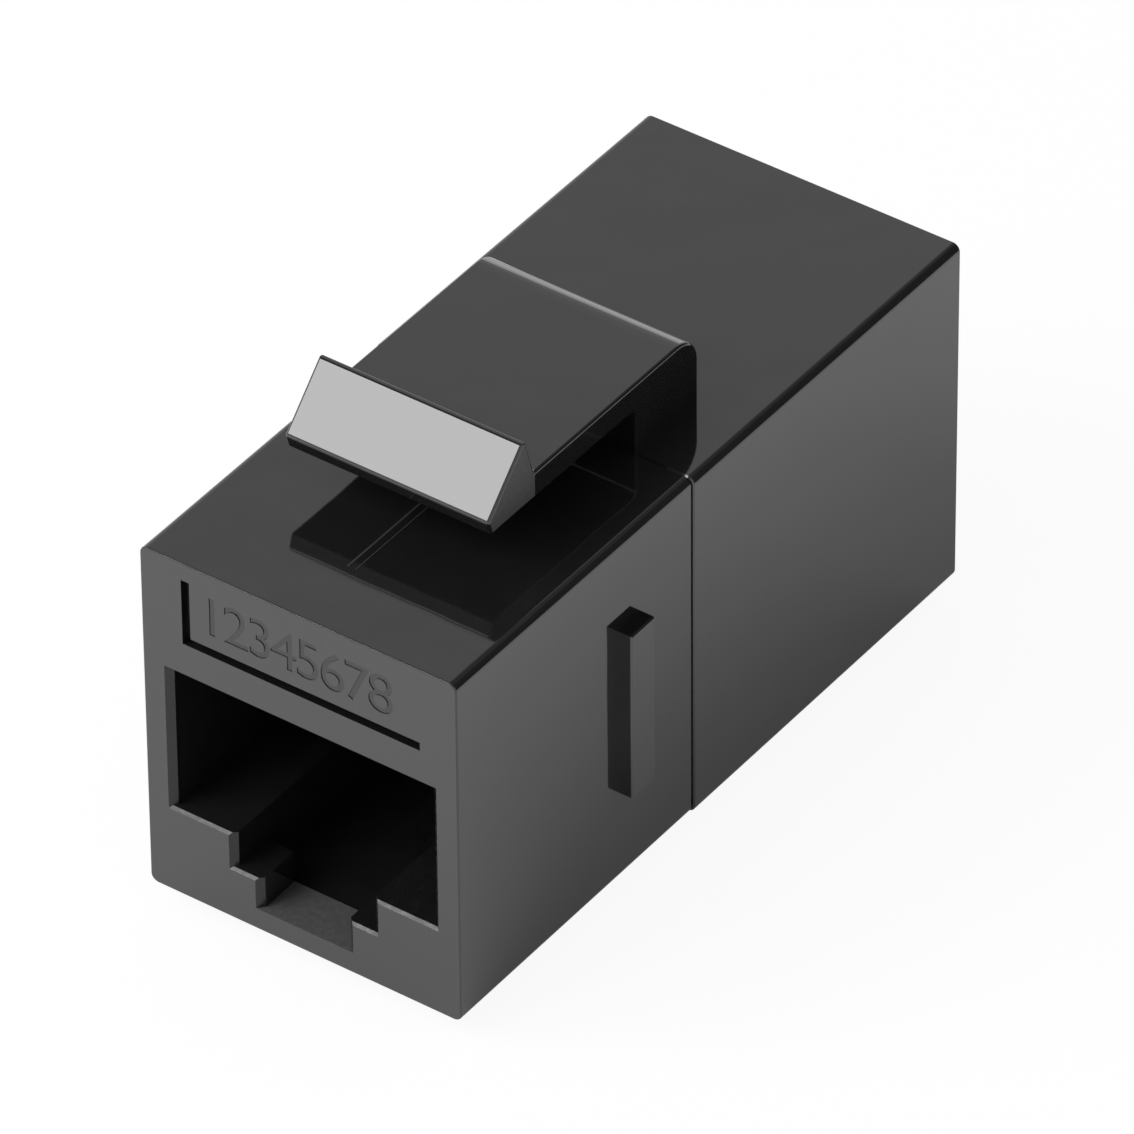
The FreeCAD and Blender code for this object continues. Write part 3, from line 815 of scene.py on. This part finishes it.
def arc_points(centre, radius, start, end, steps):
    """Points of an arc in the side view, as pairs of y and z."""
    angles = [start + (end - start) * step / steps for step in range(steps + 1)]
    return [(centre[0] + radius * math.cos(a), centre[1] + radius * math.sin(a)) for a in angles]


def run_points(start, end, spacing):
    """Points along a straight stretch, without its last one."""
    length = math.dist(start, end)
    count = max(1, round(length / spacing))
    return [(start[0] + (end[0] - start[0]) * step / count,
             start[1] + (end[1] - start[1]) * step / count) for step in range(count)]


def latch_outline(settings):
    """The latch's side view, from under the nose back along the arm and round the root."""
    low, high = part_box("latch_arm")
    top = ARM_TOP + settings.proud
    under = low.z
    nose = low.y
    crest_front = nose + settings.face_run
    crest_back = crest_front + settings.crest
    lip_foot = nose + settings.lip_back
    root_front = SEAM_Y + settings.root_setback - settings.proud
    root_back = SEAM_Y + settings.root_setback + settings.root_length + settings.proud
    foot = BODY_TOP - SINK
    radius = settings.root_radius + settings.proud
    pit = settings.armpit
    square = math.radians(90)
    points = run_points((nose + settings.nose_run, under), (root_front - pit, under), BEND_STEP)
    points += arc_points((root_front - pit, under - pit), pit, square, 0.0, PIT_STEPS)
    points += [(root_front, foot), (root_back, foot)]
    points += arc_points((root_back - radius, top - radius), radius, 0.0, square, CORNER_STEPS)
    points += run_points((root_back - radius - CORNER_LEAD, top), (lip_foot, top), BEND_STEP)
    points += [(lip_foot, top), (crest_back, high.z), (crest_front, high.z),
               (nose, top - settings.nose_drop)]
    return points


def weigh_edges(latch, settings, sharp_angle=math.radians(25)):
    """Say how wide each edge of the latch is softened, as a share of the widest."""
    skin = bmesh.new()
    skin.from_mesh(latch.data)
    share = skin.edges.layers.float.new("bevel_weight_edge")
    for edge in skin.edges:
        if edge.calc_face_angle(0.0) > sharp_angle:
            on_crest = min(vertex.co.z for vertex in edge.verts) > ARM_TOP + CREST_RISE
            edge[share] = settings.crest_edge / settings.edge if on_crest else 1.0
    skin.to_mesh(latch.data)
    skin.free()


class COUPLER_OT_latch(PieceOperator, bpy.types.Operator):
    """Sprung latch: one strip from its root to the lip"""

    bl_idname = "coupler.latch"
    bl_label = "Latch"

    def execute(self, context):
        settings = context.scene.coupler_latch
        low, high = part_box("latch_arm")
        half = (high.x - low.x) / 2 + settings.proud
        material = moulded_black("latch_black", context.scene.coupler_plastic)
        latch = prism("latch", latch_outline(settings), half, material)
        weigh_edges(latch, settings)
        soften = latch.modifiers.new("edges", "BEVEL")
        soften.width = settings.edge
        soften.segments = EDGE_STEPS
        soften.limit_method = "WEIGHT"
        settle(latch)
        lip_foot = low.y + settings.lip_back
        split_across(latch, lip_foot)
        paint_faces(latch, etched_black("etched_lip_sides"),
                    lambda face: abs(face.normal.x) > 0.99 and face.center.y < lip_foot)
        shade_smooth(latch)
        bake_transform(latch)
        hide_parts("latch_arm")
        return {"FINISHED"}


def contact_name(end, pin):
    return "%s_contact_%d" % (end, pin)


def tail_places(end):
    """Where the contact tails of one port end, each as x and z."""
    furthest = max if end == "front" else min
    places = []
    for pin in range(1, PINS + 1):
        points = [vertex.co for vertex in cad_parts[contact_name(end, pin)].data.vertices]
        last = furthest(point.y for point in points)
        tip = [point for point in points if abs(point.y - last) < TOUCH]
        middle = sum(tip, Vector()) / len(tip)
        places.append((middle.x, middle.z))
    return places


def scatter_tree(name, inputs, make_item):
    """Node tree that stands an item on each vertex, turned about x and varied in height."""
    tree = bpy.data.node_groups.new(name, "GeometryNodeTree")
    face = tree.interface
    face.new_socket("Geometry", in_out="INPUT", socket_type="NodeSocketGeometry")
    for item in (*inputs, "Turn", "Vary"):
        face.new_socket(item, in_out="INPUT", socket_type="NodeSocketFloat")
    face.new_socket("Seed", in_out="INPUT", socket_type="NodeSocketInt")
    face.new_socket("Material", in_out="INPUT", socket_type="NodeSocketMaterial")
    face.new_socket("Geometry", in_out="OUTPUT", socket_type="NodeSocketGeometry")
    nodes, links = tree.nodes, tree.links
    start = nodes.new("NodeGroupInput")
    end = nodes.new("NodeGroupOutput")
    item = make_item(tree, start)
    low = combine(tree, "SUBTRACT", 1.0, start.outputs["Vary"])
    high = combine(tree, "ADD", 1.0, start.outputs["Vary"])
    # Random Value has one set of sockets for each kind of value; these numbers are its floats
    random = nodes.new("FunctionNodeRandomValue")
    links.new(low, random.inputs[2])
    links.new(high, random.inputs[3])
    links.new(start.outputs["Seed"], random.inputs["Seed"])
    scale = nodes.new("ShaderNodeCombineXYZ")
    scale.inputs["X"].default_value = 1.0
    scale.inputs["Y"].default_value = 1.0
    links.new(random.outputs[1], scale.inputs["Z"])
    turn = nodes.new("ShaderNodeCombineXYZ")
    links.new(start.outputs["Turn"], turn.inputs["X"])
    place = nodes.new("GeometryNodeInstanceOnPoints")
    links.new(start.outputs["Geometry"], place.inputs["Points"])
    links.new(item, place.inputs["Instance"])
    links.new(turn.outputs["Vector"], place.inputs["Rotation"])
    links.new(scale.outputs["Vector"], place.inputs["Scale"])
    real = nodes.new("GeometryNodeRealizeInstances")
    links.new(place.outputs["Instances"], real.inputs["Geometry"])
    paint = nodes.new("GeometryNodeSetMaterial")
    links.new(real.outputs["Geometry"], paint.inputs["Geometry"])
    links.new(start.outputs["Material"], paint.inputs["Material"])
    links.new(paint.outputs["Geometry"], end.inputs["Geometry"])
    return tree


def joint_item(tree, start):
    """A cone of solder with its side curved in, standing on the board."""
    nodes, links = tree.nodes, tree.links
    cone = nodes.new("GeometryNodeMeshCone")
    cone.inputs["Vertices"].default_value = JOINT_SIDES
    cone.inputs["Side Segments"].default_value = JOINT_RINGS
    links.new(start.outputs["Radius"], cone.inputs["Radius Bottom"])
    links.new(start.outputs["Tip"], cone.inputs["Radius Top"])
    links.new(start.outputs["Height"], cone.inputs["Depth"])
    place = nodes.new("GeometryNodeInputPosition")
    split = nodes.new("ShaderNodeSeparateXYZ")
    links.new(place.outputs["Position"], split.inputs["Vector"])
    share = combine(tree, "DIVIDE", split.outputs["Z"], start.outputs["Height"])
    wave = combine(tree, "SINE", combine(tree, "MULTIPLY", share, math.pi))
    waist = combine(tree, "SUBTRACT", 1.0, combine(tree, "MULTIPLY", wave, start.outputs["Dip"]))
    moved = nodes.new("ShaderNodeCombineXYZ")
    links.new(combine(tree, "MULTIPLY", split.outputs["X"], waist), moved.inputs["X"])
    links.new(combine(tree, "MULTIPLY", split.outputs["Y"], waist), moved.inputs["Y"])
    links.new(split.outputs["Z"], moved.inputs["Z"])
    shape = nodes.new("GeometryNodeSetPosition")
    links.new(cone.outputs["Mesh"], shape.inputs["Geometry"])
    links.new(moved.outputs["Vector"], shape.inputs["Position"])
    return shape.outputs["Geometry"]


def pad_item(tree, start):
    """A flat ring of copper round a hole."""
    nodes, links = tree.nodes, tree.links
    ring = nodes.new("GeometryNodeCurvePrimitiveCircle")
    ring.inputs["Resolution"].default_value = PAD_SIDES
    middle = combine(tree, "ADD", start.outputs["Outer"], start.outputs["Inner"])
    links.new(combine(tree, "MULTIPLY", middle, 0.5), ring.inputs["Radius"])
    section = nodes.new("GeometryNodeCurvePrimitiveQuadrilateral")
    links.new(combine(tree, "SUBTRACT", start.outputs["Outer"], start.outputs["Inner"]),
              section.inputs["Width"])
    links.new(combine(tree, "MULTIPLY", start.outputs["Thickness"], 2.0), section.inputs["Height"])
    sweep = nodes.new("GeometryNodeCurveToMesh")
    links.new(ring.outputs["Curve"], sweep.inputs["Curve"])
    links.new(section.outputs["Curve"], sweep.inputs["Profile Curve"])
    return sweep.outputs["Mesh"]


def stand_on_board(name, tree, places, turn, material, **values):
    """One row of items on the board, made by a node tree at the places given."""
    points = bpy.data.meshes.new(name)
    points.from_pydata(places, [], [])
    piece = new_piece(name, points, material)
    node_modifier(piece, tree, Turn=turn, Material=material, **values)
    settle(piece)
    shade_smooth(piece)
    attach(piece, "housing")


class COUPLER_OT_board(PieceOperator, bpy.types.Operator):
    """Circuit board, with its copper pads and the solder joints on the contact tails"""

    bl_idname = "coupler.board"
    bl_label = "Board"

    def execute(self, context):
        settings = context.scene.coupler_joints
        paint_node("circuit_board", board_green("solder_mask_green"))
        solder = solder_bright("solder_bright")
        low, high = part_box("circuit_board")
        faces = {"front": (high.y, math.radians(-90)), "rear": (low.y, math.radians(90))}
        joints = scatter_tree("solder_joints", ("Radius", "Tip", "Height", "Dip"), joint_item)
        pads = scatter_tree("copper_pads", ("Outer", "Inner", "Thickness"), pad_item)
        tails = {end: tail_places(end) for end in ENDS}
        for end, (face, turn) in faces.items():
            tips = [(x, face, z) for x, z in tails[end]]
            stand_on_board(end + "_solder_joints", joints, tips, turn, solder,
                           Radius=settings.radius, Tip=settings.tip, Height=settings.height,
                           Dip=settings.dip, Vary=settings.vary, Seed=settings.seed)
            holes = [(x, face, z) for row in tails.values() for x, z in row]
            stand_on_board(end + "_copper_pads", pads, holes, turn, solder,
                           Outer=settings.pad_radius, Inner=settings.hole_radius,
                           Thickness=settings.pad_thickness, Vary=0.0, Seed=settings.seed)
        return {"FINISHED"}


class COUPLER_OT_carriers(PieceOperator, bpy.types.Operator):
    """The two moulded carriers that hold the contacts"""

    bl_idname = "coupler.carriers"
    bl_label = "Carriers"

    def execute(self, context):
        material = carrier_black("carrier_black")
        for end in ENDS:
            paint_node(end + "_contact_carrier", material)
        return {"FINISHED"}


class COUPLER_OT_contacts(PieceOperator, bpy.types.Operator):
    """The sixteen gold-plated contacts"""

    bl_idname = "coupler.contacts"
    bl_label = "Contacts"

    def execute(self, context):
        material = gold_plate("contact_gold_plate")
        for end in ENDS:
            for pin in range(1, PINS + 1):
                paint_node(contact_name(end, pin), material)
        return {"FINISHED"}


def soft_box(name, place, facing, size, radiance):
    """A square lamp, as bright as asked all over, that lights without showing in the gloss."""
    lamp = bpy.data.lights.new(name, "AREA")
    lamp.shape = "SQUARE"
    lamp.size = size
    lamp.energy = LAMP_POWER * radiance * size * size
    holder = bpy.data.objects.new(name, lamp)
    bpy.context.scene.collection.objects.link(holder)
    holder.location = place
    holder.rotation_mode = "QUATERNION"
    holder.rotation_quaternion = facing.to_track_quat("-Z", "Y")
    holder.visible_glossy = False


def studio_card(name, place, facing, width, height, brightness):
    """A card that shows only in the gloss, as bright or as dark as asked."""
    mesh = flat_sheet(name, width, height)
    turn = facing.to_track_quat("Z", "Y").to_matrix().to_4x4()
    mesh.transform(Matrix.Translation(place) @ turn)
    material, output = bare_material(name)
    tree = material.node_tree
    glow = tree.nodes.new("ShaderNodeEmission")
    glow.inputs["Strength"].default_value = brightness
    tree.links.new(glow.outputs["Emission"], output)
    card = new_piece(name, mesh, material)
    card.visible_camera = False
    card.visible_diffuse = False
    card.visible_shadow = False
    card.visible_transmission = False


def plain_sky(settings):
    """White to the eye, even light all around, and pale walls with a dim ceiling in the gloss."""
    world = bpy.data.worlds.new("studio")
    world.use_nodes = True
    tree = world.node_tree
    back = tree.nodes["Background"]
    back.inputs["Color"].default_value = (1.0, 1.0, 1.0, 1.0)
    split = tree.nodes.new("ShaderNodeSeparateXYZ")
    direction = tree.nodes.new("ShaderNodeTexCoord").outputs["Generated"]
    tree.links.new(direction, split.inputs["Vector"])
    wall = tree.nodes.new("ShaderNodeValToRGB")
    while len(wall.color_ramp.elements) < len(STUDIO_WALL):
        wall.color_ramp.elements.new(0.5)
    for element, (height, glow) in zip(wall.color_ramp.elements, STUDIO_WALL):
        element.position = height
        element.color = (glow, glow, glow, 1.0)
    tree.links.new(split.outputs["Z"], wall.inputs["Fac"])
    path = tree.nodes.new("ShaderNodeLightPath")
    seen = combine(tree, "MAXIMUM", path.outputs["Is Camera Ray"],
                   path.outputs["Is Transmission Ray"])
    gloss = combine(tree, "MULTIPLY", path.outputs["Is Glossy Ray"], wall.outputs["Color"])
    plain = combine(tree, "MULTIPLY", path.outputs["Is Diffuse Ray"], settings.sky)
    tree.links.new(combine(tree, "MAXIMUM", seen, combine(tree, "MAXIMUM", gloss, plain)),
                   back.inputs["Strength"])
    bpy.context.scene.world = world


def aim_camera(settings):
    """The camera of the photograph, turned about its own line of sight by the roll."""
    camera = bpy.data.objects.new("camera", bpy.data.cameras.new("camera"))
    bpy.context.scene.collection.objects.link(camera)
    azimuth, elevation = settings.azimuth, settings.elevation
    back = Vector((math.sin(azimuth) * math.cos(elevation),
                   -math.cos(azimuth) * math.cos(elevation), math.sin(elevation)))
    camera.location = Vector(settings.aim) + back * settings.distance
    camera.rotation_mode = "QUATERNION"
    roll = Matrix.Rotation(settings.roll, 4, "Z").to_quaternion()
    camera.rotation_quaternion = (-back).to_track_quat("-Z", "Y") @ roll
    camera.data.sensor_width = SENSOR_WIDTH
    camera.data.lens = settings.lens
    camera.data.clip_start = CLIP_START
    camera.data.clip_end = CLIP_END
    bpy.context.scene.camera = camera


class COUPLER_OT_stage(PieceOperator, bpy.types.Operator):
    """Pale floor, soft light and the camera"""

    bl_idname = "coupler.stage"
    bl_label = "Stage"

    def execute(self, context):
        settings = context.scene.coupler_stage
        floor = new_piece("floor", flat_sheet("floor", FLOOR_SIZE, FLOOR_SIZE),
                          pale_floor("pale_floor", settings))
        plain_sky(settings)
        place = Vector(settings.aim) + KEY_DIRECTION * KEY_DISTANCE
        soft_box("key", place, -KEY_DIRECTION, KEY_SIZE, settings.key)
        studio_card("key_card", place, -KEY_DIRECTION, KEY_CARD_SIZE, KEY_CARD_SIZE,
                    KEY_CARD_SHARE * settings.key)
        for name, (bearing, distance, height, width, tall, glow) in REAR_CARDS.items():
            away = Vector((math.sin(bearing), math.cos(bearing), 0.0))
            place = away * distance + Vector((0.0, 0.0, height))
            studio_card(name, place, -away, width, tall, glow)
        aim_camera(settings)
        context.scene.view_settings.view_transform = "Standard"
        return {"FINISHED"}


# Panel and registration


PIECE_OPERATORS = (COUPLER_OT_front_shell, COUPLER_OT_rear_shell, COUPLER_OT_latch,
                   COUPLER_OT_board, COUPLER_OT_carriers, COUPLER_OT_contacts, COUPLER_OT_stage)

SETTINGS = (
    ("coupler_plastic", PlasticSettings),
    ("coupler_witness", WitnessSettings),
    ("coupler_numbers", NumberSettings),
    ("coupler_latch", LatchSettings),
    ("coupler_joints", JointSettings),
    ("coupler_stage", StageSettings),
)


class COUPLER_PT_pieces(bpy.types.Panel):
    """Lists the settings, and the operators that build each piece"""

    bl_label = "Keystone coupler"
    bl_space_type = "VIEW_3D"
    bl_region_type = "UI"
    bl_category = "Coupler"

    def draw(self, context):
        for name, group in SETTINGS:
            box = self.layout.box()
            for field in group.__annotations__:
                box.prop(getattr(context.scene, name), field)
        for operator in PIECE_OPERATORS:
            self.layout.operator(operator.bl_idname)


CLASSES = (*(group for _, group in SETTINGS), *PIECE_OPERATORS, COUPLER_PT_pieces)


def register():
    for cls in CLASSES:
        bpy.utils.register_class(cls)
    for name, group in SETTINGS:
        setattr(bpy.types.Scene, name, PointerProperty(type=group))


def unregister():
    for name, _ in SETTINGS:
        delattr(bpy.types.Scene, name)
    for cls in reversed(CLASSES):
        bpy.utils.unregister_class(cls)


def main():
    register()
    bpy.ops.coupler.front_shell()
    bpy.ops.coupler.rear_shell()
    bpy.ops.coupler.latch()
    bpy.ops.coupler.board()
    bpy.ops.coupler.carriers()
    bpy.ops.coupler.contacts()
    bpy.ops.coupler.stage()


if __name__ == "__main__":
    main()
